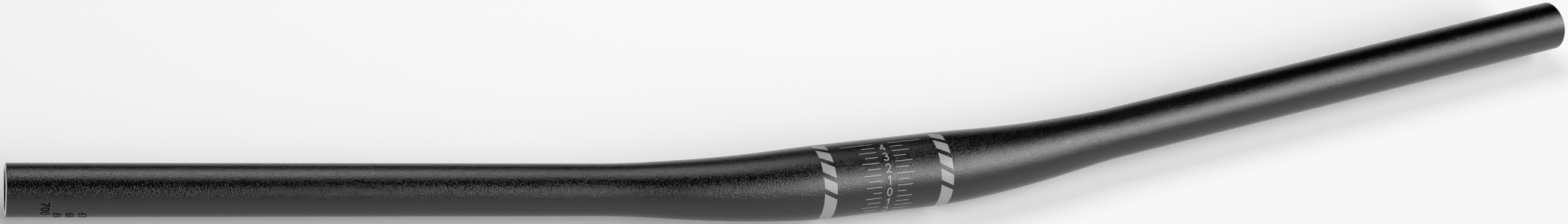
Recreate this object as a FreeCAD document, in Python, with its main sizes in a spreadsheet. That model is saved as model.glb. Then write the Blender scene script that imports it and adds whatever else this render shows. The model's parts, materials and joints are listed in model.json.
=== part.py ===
import FreeCAD, Part
import math
import os
import Sketcher

# Flat handlebar of a bicycle: one aluminium tube, drawn with a thicker wall in the middle,
# tapered from the stem's clamp to the grips and bent back by the same angle on both sides.
# +X runs along the clamp, to the right as seen from the front. The ends sweep back to +Y. +Z is up.
# The origin is the middle of the clamp, on the tube's centre line.
# One half is modelled on +X, from the middle outwards, and then mirrored.

# Driving dimensions, in millimetres and degrees
DIMENSIONS = {
    "bar_width": 730.0,       # between the two ends, on the centre line
    "clamp_diameter": 31.8,   # where the stem holds the bar
    "clamp_length": 44.0,     # straight and of full diameter, both sides together
    "clamp_wall": 2.4,
    "grip_diameter": 22.2,    # where grips and levers slide on
    "grip_wall": 2.0,
    "sweep_angle": 9.0,       # how far each side turns back
    "bend_radius": 445.0,     # of the centre line, between the clamp and the straight side
    "taper_run_out": 32.0,    # how far the taper goes on along the straight side
    "taper_blend": 22.0,      # length of the easing at each end of the taper
    "rim_chamfer": 0.6,       # outer edge of each cut end
    "bore_chamfer": 0.4,      # inner edge of each cut end
}

# Cross sections that carry the taper, first through the bend and then along the straight side
BEND_SECTIONS = 8
RUN_OUT_SECTIONS = 4

# A sketch's numbers for the points of a curve, for its X axis and for its origin
START, END, CENTRE = 1, 2, 3
X_AXIS, ORIGIN = -1, (-1, 1)

# Derived sizes, as expressions of the sheet's cells
SWEEP = "dims.sweep_angle * 1 deg"
BEND_LENGTH = "dims.bend_radius * dims.sweep_angle * pi / 180"
TAPER_LENGTH = f"({BEND_LENGTH} + dims.taper_run_out)"
CLAMP_END = "dims.clamp_length / 2"
BEND_END_X = f"({CLAMP_END} + dims.bend_radius * sin({SWEEP}))"
BEND_END_Y = f"dims.bend_radius * (1 - cos({SWEEP}))"
GRIP_LENGTH = f"(dims.bar_width / 2 - {BEND_END_X}) / cos({SWEEP}) - dims.taper_run_out"
OUTSIDE = ("dims.clamp_diameter", "dims.grip_diameter")
BORE = ("(dims.clamp_diameter - 2 * dims.clamp_wall)", "(dims.grip_diameter - 2 * dims.grip_wall)")


def make_sheet(doc):
    """The driving dimensions as one sheet, each cell under its own name."""
    sheet = doc.addObject("Spreadsheet::Sheet", "dims")
    for row, (name, value) in enumerate(DIMENSIONS.items(), start=1):
        sheet.set(f"A{row}", name)
        sheet.set(f"B{row}", str(value))
        sheet.setAlias(f"B{row}", name)
    doc.recompute()


def origin_plane(body, role):
    return next(feature for feature in body.Origin.OriginFeatures if feature.Role == role)


def new_sketch(body, name, role):
    sketch = body.newObject("Sketcher::SketchObject", name)
    sketch.AttachmentSupport = [(origin_plane(body, role), "")]
    sketch.MapMode = "FlatFace"
    return sketch


def bind(sketch, name, constraint, expression):
    """Adds a dimension to a sketch and ties it to an expression of the sheet."""
    index = sketch.addConstraint(constraint)
    sketch.renameConstraint(index, name)
    sketch.setExpression(f"Constraints.{name}", expression)


def make_centre_line(body):
    """The bent stretch of the centre line: an arc that leaves the clamp straight, then the run-out."""
    start_x = DIMENSIONS["clamp_length"] / 2
    radius = DIMENSIONS["bend_radius"]
    run_out = DIMENSIONS["taper_run_out"]
    sweep = math.radians(DIMENSIONS["sweep_angle"])
    bend_circle = Part.Circle(FreeCAD.Vector(start_x, radius, 0), FreeCAD.Vector(0, 0, 1), radius)
    arc_end = FreeCAD.Vector(start_x + radius * math.sin(sweep), radius * (1 - math.cos(sweep)), 0)
    run_end = arc_end + FreeCAD.Vector(math.cos(sweep), math.sin(sweep), 0) * run_out

    sketch = new_sketch(body, "centre_line", "XY_Plane")
    arc = sketch.addGeometry(Part.ArcOfCircle(bend_circle, -math.pi / 2, sweep - math.pi / 2), False)
    run = sketch.addGeometry(Part.LineSegment(arc_end, run_end), False)
    sketch.addConstraint(Sketcher.Constraint("PointOnObject", arc, START, X_AXIS))
    sketch.addConstraint(Sketcher.Constraint("Vertical", arc, CENTRE, arc, START))
    sketch.addConstraint(Sketcher.Constraint("Tangent", arc, END, run, START))
    bind(sketch, "clamp_end", Sketcher.Constraint("DistanceX", arc, START, start_x), CLAMP_END)
    bind(sketch, "bend_radius", Sketcher.Constraint("Radius", arc, radius), "dims.bend_radius")
    bind(sketch, "sweep", Sketcher.Constraint("Angle", run, sweep), SWEEP)
    bind(sketch, "run_out", Sketcher.Constraint("Distance", run, run_out), "dims.taper_run_out")
    return sketch


def tapered_share(along):
    """How much of the taper is done after a length along it: a straight cone, eased in and out."""
    blend = "dims.taper_blend"
    left = f"({TAPER_LENGTH} - ({along}))"
    ease = f"(2 * {blend} * ({TAPER_LENGTH} - {blend}))"
    ease_in = f"({along})^2 / {ease}"
    cone = f"(({along}) - {blend} / 2) / ({TAPER_LENGTH} - {blend})"
    ease_out = f"1 - {left}^2 / {ease}"
    return f"(({along}) < {blend} ? {ease_in} : ({left} > {blend} ? {cone} : {ease_out}))"


def make_section(body, name, diameters, along, x, y, turn):
    """A round section across the centre line, with the diameter at that length along the taper."""
    wide, narrow = diameters
    drawn = DIMENSIONS["grip_diameter"]
    sketch = new_sketch(body, name, "YZ_Plane")
    circle = Part.Circle(FreeCAD.Vector(0, 0, 0), FreeCAD.Vector(0, 0, 1), drawn / 2)
    ring = sketch.addGeometry(circle, False)
    sketch.addConstraint(Sketcher.Constraint("Coincident", ring, CENTRE, *ORIGIN))
    diameter = f"{wide} + ({narrow} - {wide}) * {tapered_share(along)}"
    bind(sketch, "diameter", Sketcher.Constraint("Diameter", ring, drawn), diameter)
    place = f"placement(vector({y}; 0; {x}); rotation(vector(0; 1; 0); {turn}))"
    sketch.setExpression("AttachmentOffset", place)
    return sketch


def make_sections(body, name, diameters):
    """The sections of the outside or of the bore, from the clamp's end to the start of the grip."""
    sections = []
    for step in range(BEND_SECTIONS + 1):
        share = f"{step} / {BEND_SECTIONS}"
        turn = f"({share} * {SWEEP})"
        x = f"{CLAMP_END} + dims.bend_radius * sin({turn})"
        y = f"dims.bend_radius * (1 - cos({turn}))"
        along = f"{share} * {BEND_LENGTH}"
        sections.append(make_section(body, f"{name}_bend_{step}", diameters, along, x, y, turn))
    for step in range(1, RUN_OUT_SECTIONS + 1):
        run = f"{step} / {RUN_OUT_SECTIONS} * dims.taper_run_out"
        x = f"{BEND_END_X} + {run} * cos({SWEEP})"
        y = f"{BEND_END_Y} + {run} * sin({SWEEP})"
        along = f"{BEND_LENGTH} + {run}"
        sections.append(make_section(body, f"{name}_run_{step}", diameters, along, x, y, SWEEP))
    return sections


def straight(body, kind, name, profile, length, reverse):
    """A round bar or bore of one diameter, from the section at its end."""
    feature = body.newObject(f"PartDesign::{kind}", name)
    feature.Profile = profile
    feature.setExpression("Length", length)
    feature.Reversed = reverse
    return feature


def tapered(body, kind, name, spine, sections):
    """The tapered and bent stretch, carried through all its sections along the centre line."""
    feature = body.newObject(f"PartDesign::{kind}", name)
    feature.Profile = (sections[0], [""])
    feature.Spine = (spine, ["Edge1", "Edge2"])
    feature.Sections = [(sketch, [""]) for sketch in sections[1:]]
    feature.Transformation = "Multisection"
    return feature


def end_edge(shape, diameter):
    """The name of the round edge of that diameter that lies furthest out along the bar."""
    rounds = [
        (edge.CenterOfMass.x, f"Edge{number}")
        for number, edge in enumerate(shape.Edges, start=1)
        if isinstance(edge.Curve, Part.Circle) and math.isclose(2 * edge.Curve.Radius, diameter)
    ]
    return max(rounds)[1]


def chamfer(body, name, base, diameter):
    """Breaks the end's edge of that diameter by the size that has the feature's name."""
    feature = body.newObject("PartDesign::Chamfer", name)
    feature.Base = (base, [end_edge(base.Shape, diameter)])
    feature.setExpression("Size", f"dims.{name}")
    return feature


def make_handlebar(doc):
    """The tube: a solid bar, then its bore, the broken edges of the cut end, and the other side."""
    body = doc.addObject("PartDesign::Body", "handlebar")
    body.Label = "handlebar"
    centre_line = make_centre_line(body)
    outside = make_sections(body, "outside", OUTSIDE)
    bore = make_sections(body, "bore", BORE)
    doc.recompute()

    straight(body, "Pad", "clamp_blank", outside[0], CLAMP_END, True)
    tapered(body, "AdditivePipe", "taper_blank", centre_line, outside)
    blank = straight(body, "Pad", "grip_blank", outside[-1], GRIP_LENGTH, False)
    straight(body, "Pocket", "clamp_bore", bore[0], CLAMP_END, False)
    tapered(body, "SubtractivePipe", "taper_bore", centre_line, bore)
    tube = straight(body, "Pocket", "grip_bore", bore[-1], GRIP_LENGTH, True)
    doc.recompute()
    print("half bar", round(blank.Shape.Volume), "mm3, bored out to", round(tube.Shape.Volume), "mm3")

    grip_bore = DIMENSIONS["grip_diameter"] - 2 * DIMENSIONS["grip_wall"]
    rim = chamfer(body, "rim_chamfer", tube, DIMENSIONS["grip_diameter"])
    doc.recompute()
    chamfer(body, "bore_chamfer", rim, grip_bore)
    doc.recompute()

    both_sides = body.newObject("PartDesign::Mirrored", "both_sides")
    both_sides.TransformMode = "Whole shape"
    both_sides.MirrorPlane = (origin_plane(body, "YZ_Plane"), [""])
    both_sides.Refine = True
    body.Tip = both_sides
    doc.recompute()
    return body


def check(doc, bodies):
    """Stops before anything is written if an object failed or a solid isn't whole."""
    for item in doc.Objects:
        if "Invalid" in item.State or "Error" in item.State:
            raise RuntimeError(f"{item.Label} failed: {item.State}")
    for body in bodies:
        if body.Shape.isNull() or not body.Shape.isValid():
            raise RuntimeError(f"{body.Label} has no valid shape")


def main():
    doc = FreeCAD.newDocument("flat_handlebar")
    make_sheet(doc)
    bodies = [make_handlebar(doc)]
    check(doc, bodies)
    os.makedirs("parts", exist_ok=True)
    for body in bodies:
        body.Shape.exportStep(f"parts/{body.Label}.step")
        print(body.Label, round(body.Shape.Volume), "mm3 in", len(body.Shape.Solids), "solid")


main()
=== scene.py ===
# %% [markdown]
# # A flat handlebar, dressed around its frame
# The object is one aluminium tube: thick where the stem holds it, tapered and bent back on both sides,
# blasted and coated black, with a light grey print in the middle and bare metal where the ends were cut.
# The imported frame already holds its true size and place. This lesson adds the looks: a smooth skin over
# the same form, the finishes, the print, and a small studio to see them in.

# %% Load the frame
import json
import math

import bpy
import numpy as np
from mathutils import Matrix


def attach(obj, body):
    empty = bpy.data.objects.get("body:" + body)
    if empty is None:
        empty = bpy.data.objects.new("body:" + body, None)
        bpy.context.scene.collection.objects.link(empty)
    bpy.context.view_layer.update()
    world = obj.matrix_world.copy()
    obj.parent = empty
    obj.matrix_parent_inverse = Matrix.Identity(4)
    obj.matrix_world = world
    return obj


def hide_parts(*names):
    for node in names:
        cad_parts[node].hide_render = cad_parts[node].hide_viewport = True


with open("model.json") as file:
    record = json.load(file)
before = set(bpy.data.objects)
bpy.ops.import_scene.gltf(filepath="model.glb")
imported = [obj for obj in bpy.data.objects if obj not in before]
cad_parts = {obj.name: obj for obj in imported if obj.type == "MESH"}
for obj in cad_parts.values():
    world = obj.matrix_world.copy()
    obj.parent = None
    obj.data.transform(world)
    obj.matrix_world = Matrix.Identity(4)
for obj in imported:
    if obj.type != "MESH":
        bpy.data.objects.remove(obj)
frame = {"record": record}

MM = 0.001
SCENE = bpy.context.scene
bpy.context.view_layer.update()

# %% [markdown]
# ## Sizes
# A tube like this is known by a few numbers. The record's mounts give most of them: the clamp's radius
# and length, the grip's radius, its line and its ends, and the bore. The bend's radius isn't a mount, but
# it follows from them: an arc that leaves the clamp straight and joins the grip's line has equal tangents
# on both sides of the point where the two lines cross. Reading sizes back this way is safer than typing
# them twice, because the skin then follows the frame if the frame changes.

# %% Read the sizes from the mounts
mounts = {mount["name"]: mount for mount in frame["record"]["mounts"]}
clamp_mount = mounts["stem_clamp"]
grip_mount = mounts["grip_right"]
bore_mount = mounts["bore_right"]

CLAMP_RADIUS = clamp_mount["dims"]["r_mm"] * MM
CLAMP_END = clamp_mount["dims"]["length_mm"] * MM / 2
GRIP_RADIUS = grip_mount["dims"]["r_mm"] * MM
GRIP_LENGTH = grip_mount["dims"]["length_mm"] * MM
BORE_RADIUS = bore_mount["dims"]["r_mm"] * MM
SWEEP = math.atan2(grip_mount["axis"][1], grip_mount["axis"][0])

grip_start = np.array(grip_mount["pos_m"]) - np.array(grip_mount["axis"]) * GRIP_LENGTH / 2
CROSSING = grip_start[0] - grip_start[1] / math.tan(SWEEP)
TANGENT = CROSSING - CLAMP_END
BEND_RADIUS = TANGENT / math.tan(SWEEP / 2)

# What the mounts don't say: the easing of the taper, the wall under the clamp and the broken edges
TAPER_BLEND = 22 * MM
CLAMP_WALL = 2.4 * MM
RIM_CHAMFER = 0.6 * MM
BORE_CHAMFER = 0.4 * MM

# Lengths along the centre line, from the middle
BEND_END = CLAMP_END + BEND_RADIUS * SWEEP
TAPER_END = BEND_END + math.hypot(grip_start[0] - CROSSING, grip_start[1]) - TANGENT
RIM_START = TAPER_END + GRIP_LENGTH
COAT_END = RIM_START + RIM_CHAMFER / 2
BAR_END = RIM_START + RIM_CHAMFER
print("bend radius", round(BEND_RADIUS / MM, 1), "mm, sweep", round(math.degrees(SWEEP), 2), "degrees")
print("half length along the centre line", round(BAR_END / MM, 1), "mm")

# %% [markdown]
# ## The tube as a formula
# Every point on the tube has two numbers: a length along the centre line, minus on the left, and an angle
# round it, from the front over the top. One function turns them, with a radius, into a place. The skin
# and all the print use that same function, so a mark can't float above the coat or sink into it.

# %% Centre line, taper and surface
def centre_line(along):
    """Straight through the clamp, then an arc of the bend's radius, then straight at the sweep angle.

    x = clamp part + R sin(turn) + straight part * cos(sweep)
    y = R (1 - cos(turn)) + straight part * sin(sweep)
    Gives x, y and the turn, with x and the turn reversed on the left.
    """
    side = np.where(along < 0, -1.0, 1.0)
    length = np.abs(along)
    turn = np.clip((length - CLAMP_END) / BEND_RADIUS, 0, SWEEP)
    straight = np.maximum(length - BEND_END, 0)
    x = np.minimum(length, CLAMP_END) + BEND_RADIUS * np.sin(turn) + straight * math.cos(SWEEP)
    y = BEND_RADIUS * (1 - np.cos(turn)) + straight * math.sin(SWEEP)
    return side * x, y, side * turn


def tapered(along, wide, narrow):
    """A radius that goes from wide to narrow as a straight cone, with a parabola to ease it in and out.

    The share of the way is done^2 / ease at the start, (done - blend / 2) / (whole - blend) on the cone
    and 1 - left^2 / ease at the end, with ease = 2 * blend * (whole - blend).
    """
    whole = TAPER_END - CLAMP_END
    done = np.clip(np.abs(along) - CLAMP_END, 0, whole)
    left = whole - done
    ease = 2 * TAPER_BLEND * (whole - TAPER_BLEND)
    cone = (done - TAPER_BLEND / 2) / (whole - TAPER_BLEND)
    share = np.where(left < TAPER_BLEND, 1 - left ** 2 / ease, cone)
    share = np.where(done < TAPER_BLEND, done ** 2 / ease, share)
    return wide + (narrow - wide) * share


def outer_radius(along):
    """The radius of the outside, which tapers from the clamp's to the grip's."""
    return tapered(along, CLAMP_RADIUS, GRIP_RADIUS)


def tube_points(along, angle, radius):
    """Places on the tube, from their length, angle and radius.

    Place = centre point + radius * (cos(angle) * front + sin(angle) * up), with the front square to the
    centre line.
    """
    x, y, turn = centre_line(along)
    forward = radius * np.cos(angle)
    height = radius * np.sin(angle)
    return np.stack([x + forward * np.sin(turn), y - forward * np.cos(turn), height + 0 * x], axis=-1)


print("bar end at", np.round(tube_points(BAR_END, 0.0, 0.0) / MM, 2).tolist(), "mm")

# %% [markdown]
# ## Meshes from grids
# Each piece is a grid of points with quads between neighbours. A closed direction joins its last line of
# points to its first, so that no seam is left open. The faces could be added one by one, but as index
# arithmetic the whole mesh is a few arrays, which is fast and easy to check.

# %% Grid faces and new pieces
SHARP_ANGLE = 30


def grid_faces(rows, columns, close_rows, close_columns):
    """Quads between neighbouring points of a grid that is numbered row by row."""
    row = np.arange(rows if close_rows else rows - 1)[:, None]
    column = np.arange(columns if close_columns else columns - 1)[None, :]
    next_row = (row + 1) % rows
    next_column = (column + 1) % columns
    corners = [
        row * columns + column,
        next_row * columns + column,
        next_row * columns + next_column,
        row * columns + next_column,
    ]
    return np.stack(corners, axis=-1).reshape(-1, 4)


def new_piece(name, points, faces, material):
    """A mesh object at the origin with smooth faces, crisp edges and one finish."""
    mesh = bpy.data.meshes.new(name)
    mesh.from_pydata(points.reshape(-1, 3).tolist(), [], faces)
    mesh.materials.append(material)
    mesh.polygons.foreach_set("use_smooth", np.ones(len(faces), bool))
    mesh.set_sharp_from_angle(angle=math.radians(SHARP_ANGLE))
    mesh.update()
    piece = bpy.data.objects.new(name, mesh)
    SCENE.collection.objects.link(piece)
    print(name, len(points.reshape(-1, 3)), "points,", len(faces), "faces")
    return piece


def dress(piece):
    """The bar is one body, so each piece rides on its root."""
    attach(piece, "root")
    return piece


print("an edge is crisp where it turns by more than", SHARP_ANGLE, "degrees")

# %% [markdown]
# ## Finishes
# The coat is a clear dyed oxide on blasted metal: almost black, with a grain of fine dents that break
# each highlight into specks. One even roughness would give the same soft highlight without the specks, so
# the dents are bump, and only the little that they don't explain is roughness. All noises read Object
# coordinates, so a grain has one size all over the bar. Tones that don't vary sit on the shader's own
# sockets.

# %% Node helpers
NOISE_LOW = 0.3
NOISE_HIGH = 0.7


def new_material(name, **sockets):
    """A principled material with plain values on its own sockets."""
    material = bpy.data.materials.new(name)
    material.use_nodes = True
    shader = material.node_tree.nodes["Principled BSDF"]
    for socket, value in sockets.items():
        shader.inputs[socket.replace("_", " ")].default_value = value
    return material, material.node_tree, shader


def noise(tree, size, detail):
    """Noise on Object coordinates whose grains are about one size across, in metres."""
    place = tree.nodes.new("ShaderNodeTexCoord")
    texture = tree.nodes.new("ShaderNodeTexNoise")
    texture.inputs["Scale"].default_value = 1 / size
    texture.inputs["Detail"].default_value = detail
    tree.links.new(place.outputs["Object"], texture.inputs["Vector"])
    return texture.outputs["Fac"]


def spread(tree, value, low, high):
    """Carries the range that a noise really fills to a range of our own."""
    ramp = tree.nodes.new("ShaderNodeMapRange")
    ramp.inputs["From Min"].default_value = NOISE_LOW
    ramp.inputs["From Max"].default_value = NOISE_HIGH
    ramp.inputs["To Min"].default_value = low
    ramp.inputs["To Max"].default_value = high
    tree.links.new(value, ramp.inputs["Value"])
    return ramp.outputs["Result"]


def bump(tree, height, depth):
    """Bump from a height between 0 and 1, of a depth in metres."""
    node = tree.nodes.new("ShaderNodeBump")
    node.inputs["Strength"].default_value = 1.0
    node.inputs["Distance"].default_value = depth
    tree.links.new(height, node.inputs["Height"])
    return node.outputs["Normal"]


print("a noise fills", NOISE_LOW, "to", NOISE_HIGH)

# %% [markdown]
# ### Coat, cut metal and inks
# The ink is much thinner than the dents are deep, so it follows the coat's grain, and highlights run on
# across it. The cut ends were sawn and filed after coating: their metal is bare and bright, with finer
# marks. Each could be a flat colour, but then the print would look pasted on. So one function makes all
# four from a noise that gives the dents and the gloss together, and only the values differ.

# %% Coat, metal and inks
GRAIN = {"size": 0.36 * MM, "depth": 0.13 * MM, "detail": 1.0}
FILE_MARKS = {"size": 0.25 * MM, "depth": 0.01 * MM, "detail": 2.0}

COAT_GLOSS = {"smooth": 0.12, "rough": 0.19}
INK_GLOSS = {"smooth": 0.2, "rough": 0.28}
METAL_GLOSS = {"smooth": 0.3, "rough": 0.45}
OXIDE_IOR = 1.6
DULL_IOR = 1.08

COAT_BLACK = (0.0006, 0.0006, 0.0006, 1)
METAL_GREY = (0.78, 0.78, 0.79, 1)
PRINT_GREY = (0.3, 0.3, 0.304, 1)
PRINT_DARK = (0.001, 0.001, 0.001, 1)


def make_finish(name, size, depth, detail, smooth, rough, **sockets):
    """One noise gives a finish its dents and its gloss: smooth in the low spots, rough in the high ones."""
    material, tree, shader = new_material(name, **sockets)
    height = noise(tree, size, detail)
    tree.links.new(bump(tree, height, depth), shader.inputs["Normal"])
    tree.links.new(spread(tree, height, smooth, rough), shader.inputs["Roughness"])
    return material


black_coat = make_finish("black_coat", **GRAIN, **COAT_GLOSS, Base_Color=COAT_BLACK, IOR=OXIDE_IOR)
bare_metal = make_finish("bare_metal", **FILE_MARKS, **METAL_GLOSS, Base_Color=METAL_GREY, Metallic=1.0)
grey_print = make_finish("grey_print", **GRAIN, **INK_GLOSS, Base_Color=PRINT_GREY, IOR=OXIDE_IOR)
dark_print = make_finish("dark_print", **GRAIN, **INK_GLOSS, Base_Color=PRINT_DARK, IOR=DULL_IOR)
print("finishes:", [material.name for material in (black_coat, bare_metal, grey_print, dark_print)])

# %% [markdown]
# ## The tube
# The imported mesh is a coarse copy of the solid, and its flats would show in the long highlights. The skin
# is the same form again, but fine: one closed profile, out along the outside, in at the end and back
# along the bore, carried round the centre line. The bar is cut after it is coated, so the last chamfered
# stretch of each end is a ring of its own in bare metal.

# %% Skin of the tube
ROUND_STEPS = 192
ROUND = np.linspace(0, 2 * np.pi, ROUND_STEPS, endpoint=False)
STRAIGHT_STEP = 8 * MM
TAPER_STEP = 2 * MM


def steps(start, end, step):
    """Even steps from start to end, the end left out."""
    return np.linspace(start, end, round((end - start) / step), endpoint=False)


def lathe(along, radius):
    """A closed profile of lengths and radii, turned about the centre line."""
    points = tube_points(along[:, None], ROUND[None, :], radius[:, None])
    return points, grid_faces(len(along), len(ROUND), True, True).tolist()


def make_tube():
    """Outside from left to right, then the bore from right to left, as one closed profile.

    Past the start of the rim, the chamfer takes as much off the radius as it has run along the bar.
    """
    half = np.concatenate([
        steps(0, CLAMP_END, STRAIGHT_STEP),
        steps(CLAMP_END, TAPER_END, TAPER_STEP),
        steps(TAPER_END, RIM_START, STRAIGHT_STEP),
        [RIM_START, COAT_END],
    ])
    stations = np.concatenate([-half[:0:-1], half])
    outside = outer_radius(stations) - np.maximum(np.abs(stations) - RIM_START, 0)
    bore = tapered(stations, CLAMP_RADIUS - CLAMP_WALL, BORE_RADIUS)
    along = np.concatenate([stations, stations[::-1]])
    radius = np.concatenate([outside, bore[::-1]])
    return new_piece("bar_tube", *lathe(along, radius), black_coat)


def make_cut_end(name, side):
    """The ring past the coat: half the chamfer, the end face, the bore's chamfer, and a hidden back.

    On the left the profile runs the other way, so that the faces point outwards there too.
    """
    along = np.array([COAT_END, BAR_END, BAR_END, BAR_END - BORE_CHAMFER, COAT_END])
    outside = [GRIP_RADIUS - RIM_CHAMFER / 2, GRIP_RADIUS - RIM_CHAMFER]
    inside = [BORE_RADIUS + BORE_CHAMFER, BORE_RADIUS, BORE_RADIUS]
    radius = np.array(outside + inside)
    return new_piece(name, *lathe(side * along[::side], radius[::side]), bare_metal)


tube = dress(make_tube())
dress(make_cut_end("cut_end_left", -1))
dress(make_cut_end("cut_end_right", 1))
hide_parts("handlebar")

# %% [markdown]
# ## Print
# The marks are ink on the coat. They could be painted in the coat's material, but then their edges would
# be soft, and the mesh would lack them. Ink has a thickness, if a small one, so each mark is a thin closed
# strip that stands just proud of the coat and reaches just under it. A strip is a profile, its two edges
# above and below, carried along a path of lengths and angles on the tube. One function makes them all:
# the blocks, the scale lines and the strokes of the numbers.

# %% Strips on the tube
INK = 0.025 * MM
INK_DEPTH = 0.01 * MM


def strip(along, angle, closed=False):
    """Rows of points across the mark, given by their lengths and angles, made into a closed thin strip.

    The top lies one ink above the outside and the bottom just below it. A closed strip joins its last row
    to its first, and an open one gets a cap at each end.
    """
    rows, columns = along.shape
    radius = outer_radius(along)
    top = tube_points(along, angle, radius + INK)
    bottom = tube_points(along, angle, radius - INK_DEPTH)[:, ::-1]
    points = np.concatenate([top, bottom], axis=1)
    faces = grid_faces(rows, 2 * columns, closed, True)
    if not closed:
        upper = np.arange(columns - 1)
        lower = 2 * columns - 1 - upper
        cap = np.stack([upper, upper + 1, lower - 1, lower], axis=-1)
        last = (rows - 1) * 2 * columns
        faces = np.concatenate([faces, cap, cap[:, ::-1] + last])
    return points.reshape(-1, 3), faces


def new_print(name, strips, material):
    """All the strips of one mark as one piece: points end to end, faces renumbered to match."""
    points = [strip_points for strip_points, strip_faces in strips]
    starts = np.cumsum([0] + [len(strip_points) for strip_points in points])
    faces = [strip_faces + start for (strip_points, strip_faces), start in zip(strips, starts)]
    piece = new_piece(name, np.concatenate(points), np.concatenate(faces).tolist(), material)
    return dress(piece)


print("ink stands", INK / MM, "mm proud and reaches", INK_DEPTH / MM, "mm into the coat")

# %% [markdown]
# ### Blocks beside the clamp
# Two rings of slanted blocks mark where the stem's clamp ends. Five short blocks go over the top, and one
# long block runs round underneath. Both rings slant the same way, like a thread. A flat pattern could be
# wrapped round the tube, but a block is only a range of lengths and angles, so it is written as one.

# %% Two rings of slanted blocks
BAND_INNER = 24.1 * MM
BAND_WIDTH = 5.6 * MM
BLOCK_PITCH = math.radians(25.8)
BLOCK_TALL = math.radians(17.6)
BLOCK_SLANT = math.radians(12.0)
BLOCKS_ON_TOP = 5
LOWEST_ON_LEFT = math.radians(36.2)
LOWEST_ON_RIGHT = math.radians(29.3)
BLOCK_ROW = math.radians(2)
BLOCK_COLUMNS = 7


def block(left, top, bottom):
    """A block between two angles, taken at the band's middle, that falls by the slant to the right."""
    rows = round((top - bottom) / BLOCK_ROW)
    across = np.linspace(0, 1, BLOCK_COLUMNS)
    angle = np.linspace(top, bottom, rows)[:, None] + BLOCK_SLANT * (0.5 - across[None, :])
    along = left + BAND_WIDTH * across[None, :] + 0 * angle
    return strip(along, angle)


def band(left, first_centre):
    """Short blocks at one pitch, from the lowest in front over the top, and the long block underneath."""
    centres = first_centre + BLOCK_PITCH * np.arange(BLOCKS_ON_TOP)
    blocks = [block(left, centre + BLOCK_TALL / 2, centre - BLOCK_TALL / 2) for centre in centres]
    gap = BLOCK_PITCH - BLOCK_TALL
    long_top = centres[0] - BLOCK_TALL / 2 - gap
    long_bottom = centres[-1] + BLOCK_TALL / 2 + gap - 2 * math.pi
    return blocks + [block(left, long_top, long_bottom)]


new_print("band_left", band(-BAND_INNER - BAND_WIDTH, LOWEST_ON_LEFT), grey_print)
new_print("band_right", band(BAND_INNER, LOWEST_ON_RIGHT), grey_print)

# %% [markdown]
# ### The angle scale
# Fine lines across the clamp let a mechanic set the bar's turn in the stem by eye. They come in pairs,
# left and right of a column of plain numbers. The shortest pair is the zero, in the middle, and the
# longest pairs close the scale. A line is the shortest strip there is, two rows of two points, because it
# runs straight along the tube.

# %% Scale lines
SCALE_GAP = 3.62 * MM
SCALE_TOP = math.radians(101.5)
SCALE_PITCH = math.radians(9.48)
ZERO_LINE = 9
LINE_WIDTH = 0.32 * MM
LONG_LINE = 15.0 * MM
EVEN_LINE = 5.9 * MM
ODD_LINE = 8.0 * MM
NEAR_ZERO_LINE = 7.0 * MM
SHORT_LINE = 4.0 * MM


def line_length(steps_from_zero):
    """Longest at the ends, shortest at zero, and between them one length for odd and one for even steps.

    The odd lines next to the zero are a little shorter than the other odd ones.
    """
    if steps_from_zero == ZERO_LINE:
        return LONG_LINE
    if steps_from_zero == 0:
        return SHORT_LINE
    if steps_from_zero == 1:
        return NEAR_ZERO_LINE
    return ODD_LINE if steps_from_zero % 2 else EVEN_LINE


def scale_line(side, length, angle):
    """A straight line along the tube, from the gap outwards."""
    ends = np.array([SCALE_GAP, SCALE_GAP + length])
    along = np.sort(side * ends)[:, None] + np.zeros((1, 2))
    half = LINE_WIDTH / 2 / CLAMP_RADIUS
    return strip(along, angle + np.array([[-half, half]]) + 0 * along)


scale_angles = SCALE_TOP - SCALE_PITCH * np.arange(2 * ZERO_LINE + 1)
scale_lines = [
    scale_line(side, line_length(abs(number - ZERO_LINE)), angle)
    for side in (-1, 1)
    for number, angle in enumerate(scale_angles)
]
new_print("angle_scale", scale_lines, grey_print)
print(len(scale_angles), "pairs of lines,", round(math.degrees(SCALE_PITCH), 2), "degrees apart")

# %% [markdown]
# ### Plain numbers
# Numbers could be text objects, but text is flat and brings a font's shapes. Here they are drawn the way
# a pen draws them. A digit is a few smooth strokes in a box one unit tall, and each stroke is a path that
# is given a width. A sharp corner is two strokes that overlap, because a wide path folds over itself
# there. On the flat the result is lengths and arcs, which the strip function lays round the tube.

# %% Paths of the digits
DIGIT_WIDTH = 0.6
ARC_STEP = 10


def arc(x, y, wide, tall, start, end):
    """Points x + wide cos(t), y + tall sin(t) of an ellipse, for t between two angles in degrees."""
    turn = np.radians(np.linspace(start, end, 2 + round(abs(end - start) / ARC_STEP)))
    return np.stack([x + wide * np.cos(turn), y + tall * np.sin(turn)], axis=-1)


def line(x0, y0, x1, y1):
    """The two ends of a straight stroke."""
    return np.array([[x0, y0], [x1, y1]])


SIX = [arc(0.3, 0.3, 0.25, 0.26, 0, 360), arc(0.57, 0.3, 0.52, 0.66, 95, 180)]
DIGITS = {
    "0": [arc(0.3, 0.5, 0.25, 0.46, 0, 360)],
    "1": [line(0.12, 0.76, 0.36, 0.96), line(0.36, 0.96, 0.36, 0.04)],
    "2": [
        np.concatenate([arc(0.3, 0.7, 0.25, 0.26, 165, -35), line(0.42, 0.42, 0.06, 0.04)]),
        line(0.06, 0.04, 0.56, 0.04),
    ],
    "3": [arc(0.28, 0.74, 0.23, 0.22, 150, -90), arc(0.28, 0.28, 0.27, 0.24, 90, -150)],
    "4": [line(0.44, 0.04, 0.44, 0.96), line(0.44, 0.96, 0.05, 0.3), line(0.05, 0.3, 0.58, 0.3)],
    "6": SIX,
    "7": [line(0.05, 0.96, 0.56, 0.96), line(0.56, 0.96, 0.22, 0.04)],
    "8": [arc(0.3, 0.74, 0.2, 0.22, 0, 360), arc(0.3, 0.28, 0.25, 0.24, 0, 360)],
    "9": [np.array([DIGIT_WIDTH, 1.0]) - path for path in SIX],
}
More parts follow.
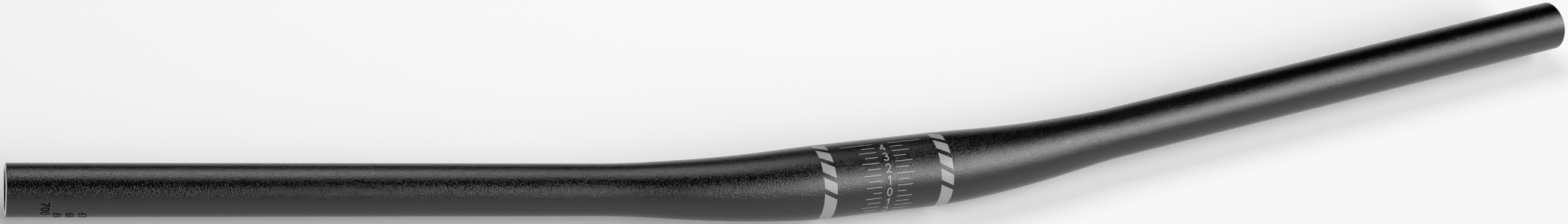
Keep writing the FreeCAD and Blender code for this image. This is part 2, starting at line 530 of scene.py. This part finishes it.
print("digits drawn:", "".join(DIGITS))

# %% Edges of a stroke
STROKE_STEP = 0.06


def stroke(path, width):
    """The two edges of a path, half a width to its right and to its left, and whether it is closed.

    Edge = point -+ width / 2 * left / cos(half the turn there). An open path first grows by half a width
    at each end.
    """
    closed = np.allclose(path[0], path[-1])
    run = np.concatenate([[0], np.cumsum(np.linalg.norm(np.diff(path, axis=0), axis=1))])
    even = np.linspace(0, run[-1], 2 + round(run[-1] / STROKE_STEP))
    path = np.stack([np.interp(even, run, path[:, 0]), np.interp(even, run, path[:, 1])], axis=-1)
    way = np.diff(path, axis=0)
    way /= np.linalg.norm(way, axis=1, keepdims=True)
    if closed:
        path = path[:-1]
        before = np.roll(way, 1, axis=0)
        after = way
    else:
        path[0] -= way[0] * width / 2
        path[-1] += way[-1] * width / 2
        before = np.concatenate([way[:1], way])
        after = np.concatenate([way, way[-1:]])
    middle = before + after
    middle /= np.linalg.norm(middle, axis=1, keepdims=True)
    left = np.stack([-middle[:, 1], middle[:, 0]], axis=-1)
    reach = width / 2 / np.sum(middle * after, axis=1, keepdims=True)
    return np.stack([path - left * reach, path + left * reach], axis=1), closed


print("a stroke has edge points about every", STROKE_STEP, "of its digit's height")

# %% Write a number on the tube
DIGIT_ADVANCE = 0.76


def write(text, height, width, along, angle, reading):
    """Strips for a number whose middle is at a length and an angle.

    The reading direction is given in lengths and arcs. Up is a quarter turn to its left.
    """
    across = np.array(reading, float)
    up = np.array([-across[1], across[0]])
    radius = outer_radius(along)
    margin = (DIGIT_ADVANCE - DIGIT_WIDTH) / 2
    strips = []
    for place, digit in enumerate(text):
        shift = np.array([(place - len(text) / 2) * DIGIT_ADVANCE + margin, -0.5])
        for path in DIGITS[digit]:
            edges, closed = stroke(path + shift, width / height)
            flat = height * (edges[..., :1] * across + edges[..., 1:] * up)
            strips.append(strip(along + flat[..., 0], angle + flat[..., 1] / radius, closed))
    return strips


print("digits follow each other every", DIGIT_ADVANCE, "of their height")

# %% [markdown]
# ### Numbers on the bar
# The angle numbers stand upright between the two halves of the scale, zero in the middle, and count up
# both ways. Near the left end, dark numbers give the bar's width if it is cut off there. They read
# downwards round the tube, and a dark ink keeps them from showing much. Each number takes its place from
# a scale line or from the end of the bar, so it stays there if the bar changes.

# %% Angle numbers and trim numbers
NUMBER_TALL = 3.9 * MM
NUMBER_STROKE = 0.5 * MM
NUMBER_EVERY = 2
LEVEL = (1, 0)
DOWNWARDS = (0, -1)

TRIM_TALL = 3.3 * MM
TRIM_STROKE = 0.55 * MM
TRIM_PITCH = 5.0 * MM
TRIM_FIRST = 15.8 * MM
TRIM_WIDTHS = ("700", "690", "680", "670")
TRIM_STARTS = np.radians([17.0, -13.0, -13.0, -13.0])

angle_numbers = []
for number in range(1, 2 * ZERO_LINE, NUMBER_EVERY):
    text = str(abs(number - ZERO_LINE) // NUMBER_EVERY)
    angle_numbers += write(text, NUMBER_TALL, NUMBER_STROKE, 0.0, scale_angles[number], LEVEL)
new_print("angle_numbers", angle_numbers, grey_print)

trim_numbers = []
for row, (text, start) in enumerate(zip(TRIM_WIDTHS, TRIM_STARTS)):
    middle = start - len(text) * DIGIT_ADVANCE * TRIM_TALL / 2 / GRIP_RADIUS
    place = -BAR_END + TRIM_FIRST + row * TRIM_PITCH
    trim_numbers += write(text, TRIM_TALL, TRIM_STROKE, place, middle, DOWNWARDS)
new_print("trim_numbers", trim_numbers, dark_print)

# %% [markdown]
# ## Camera
# The photograph was taken with a long lens from the front left, well above the bar, and turned so that
# the bar fills the picture from corner to corner. Eye, aim, roll and lens could be set by eye, but they
# were found by fitting the outline of this same tube to the outline in the photograph, which is far more
# exact. One function places both the camera and the lamps, because both look along their own -Z.

# %% Place the camera
EYE = np.array([-636.7, -1103.78, 1088.48]) * MM
AIM = np.array([-26.0, 45.64, 0.0]) * MM
CAMERA_ROLL = 12.716
LENS = 89.46
SENSOR = 36.0


def aimed(eye, aim, roll):
    """A placement at the eye that looks to the aim and rolls, in degrees, so that its right side lifts."""
    forward = (aim - eye) / np.linalg.norm(aim - eye)
    level = np.cross(forward, [0, 0, 1])
    level /= np.linalg.norm(level)
    above = np.cross(level, forward)
    right = math.cos(math.radians(roll)) * level + math.sin(math.radians(roll)) * above
    up = np.cross(right, forward)
    turn = np.stack([right, up, -forward], axis=-1)
    return Matrix.Translation(eye) @ Matrix(turn.tolist()).to_4x4()


def add_camera():
    """The photograph's camera, whose lens goes with the picture's width."""
    data = bpy.data.cameras.new("camera")
    data.sensor_fit = "HORIZONTAL"
    data.sensor_width = SENSOR
    data.lens = LENS
    camera = bpy.data.objects.new("camera", data)
    camera.matrix_world = aimed(EYE, AIM, CAMERA_ROLL)
    SCENE.collection.objects.link(camera)
    SCENE.camera = camera


add_camera()
print("camera", round(float(np.linalg.norm(AIM - EYE)), 3), "m from its aim, lens", LENS, "mm")

# %% [markdown]
# ## Floor
# The bar lies on a pale round floor whose edge bends up into a low wall, as a studio's cove does. On a
# glossy black tube the surroundings are most of what is seen: the near floor is the grey of its lower
# half, and the far floor is the thin line along its upper edge. The floor has no gloss of its own, so no
# lamp shines back from it. Part of the white is a glow, for the rays that see the floor directly, by
# reflection or through glass. The rest is lamp light on the floor, so the bar keeps its shadow.

# %% Round floor with a low wall
FLOOR_HEIGHT = -(CLAMP_RADIUS + INK)
FLOOR_RADIUS = 16.0
COVE_RADIUS = 0.5
WALL_HEIGHT = 1.5
COVE_POINTS = 13
FLOOR_SIDES = 96
FLOOR_TONE = (0.79, 0.79, 0.79, 1)
FLOOR_ROUGHNESS = 0.9
FLOOR_GLOSS = 0.0
GLOW_TONE = (1, 1, 1, 1)
FLOOR_GLOW = 0.14


def larger(tree, first, second):
    """The larger of two outputs."""
    node = tree.nodes.new("ShaderNodeMath")
    node.operation = "MAXIMUM"
    tree.links.new(first, node.inputs[0])
    tree.links.new(second, node.inputs[1])
    return node.outputs[0]


def make_floor_finish():
    """Pale and dull, with a faint glow for the rays that see the floor."""
    sockets = {
        "Base_Color": FLOOR_TONE,
        "Roughness": FLOOR_ROUGHNESS,
        "Specular_IOR_Level": FLOOR_GLOSS,
        "Emission_Color": GLOW_TONE,
    }
    material, tree, shader = new_material("pale_floor", **sockets)
    path = tree.nodes.new("ShaderNodeLightPath")
    mirrored = larger(tree, path.outputs["Is Camera Ray"], path.outputs["Is Glossy Ray"])
    seen = larger(tree, mirrored, path.outputs["Is Transmission Ray"])
    glow = tree.nodes.new("ShaderNodeMath")
    glow.operation = "MULTIPLY"
    glow.inputs[1].default_value = FLOOR_GLOW
    tree.links.new(seen, glow.inputs[0])
    tree.links.new(glow.outputs[0], shader.inputs["Emission Strength"])
    return material


def make_floor():
    """Rings about the upright axis: a disc, a quarter round up from it, and a short straight wall."""
    bend = np.linspace(0, np.pi / 2, COVE_POINTS)
    reach = np.concatenate([FLOOR_RADIUS + COVE_RADIUS * np.sin(bend), [FLOOR_RADIUS + COVE_RADIUS]])
    rise = np.concatenate([COVE_RADIUS * (1 - np.cos(bend)), [WALL_HEIGHT]])
    turn = np.linspace(0, 2 * np.pi, FLOOR_SIDES, endpoint=False)
    x = reach[:, None] * np.cos(turn)
    y = reach[:, None] * np.sin(turn)
    z = FLOOR_HEIGHT + rise[:, None] + 0 * x
    faces = grid_faces(len(reach), len(turn), False, True).tolist() + [list(range(len(turn)))]
    return new_piece("floor", np.stack([x, y, z], axis=-1), faces, make_floor_finish())


make_floor()

# %% [markdown]
# ## Lamps
# Two soft boxes make the two long highlights: a nearly square one close behind and above the bar, and a
# long one in front to the right, large and far off, so that it lights the floor evenly. Two faint cards
# stand on the floor. The one in front fills the gap between the long box and the floor, and the one at
# the far left lights the cut rim. Places, sizes and brightness were found by fitting the coat's
# reflections to the photograph at many points of the tube. The light adds up to about one, so that a
# colour shows about as it is written.

# %% Soft boxes and a dark room
def add_lamp(name, azimuth, elevation, distance, roll, width, height, radiance):
    """A soft box that faces the middle of the bar. Its power is radiance times area times pi.

    The azimuth is in degrees from the front by the right, and lengths are in metres.
    """
    turn = math.radians(azimuth)
    rise = math.radians(elevation)
    way = np.array([math.sin(turn) * math.cos(rise), -math.cos(turn) * math.cos(rise), math.sin(rise)])
    data = bpy.data.lights.new(name, "AREA")
    data.shape = "RECTANGLE"
    data.size = width
    data.size_y = height
    data.energy = radiance * width * height * math.pi
    lamp = bpy.data.objects.new(name, data)
    lamp.matrix_world = aimed(distance * way, np.zeros(3), roll)
    lamp.visible_camera = False
    SCENE.collection.objects.link(lamp)
    print(name, round(data.energy, 1), "W")


add_lamp("back_softbox", azimuth=186.0, elevation=63.3, distance=1.2, roll=13.0,
         width=0.66, height=0.62, radiance=4.1)
add_lamp("front_softbox", azimuth=53.0, elevation=35.2, distance=8.1, roll=8.0,
         width=11.3, height=3.96, radiance=7.1)
add_lamp("front_card", azimuth=20.0, elevation=10.5, distance=3.5, roll=0.0,
         width=5.2, height=1.29, radiance=0.65)
add_lamp("left_card", azimuth=255.0, elevation=8.0, distance=3.5, roll=0.0,
         width=4.0, height=0.98, radiance=1.2)

ROOM_TONE = (0.002, 0.002, 0.002, 1)
world = bpy.data.worlds.new("dark_room")
world.use_nodes = True
world.node_tree.nodes["Background"].inputs["Color"].default_value = ROOM_TONE
SCENE.world = world
SCENE.view_settings.view_transform = "Standard"
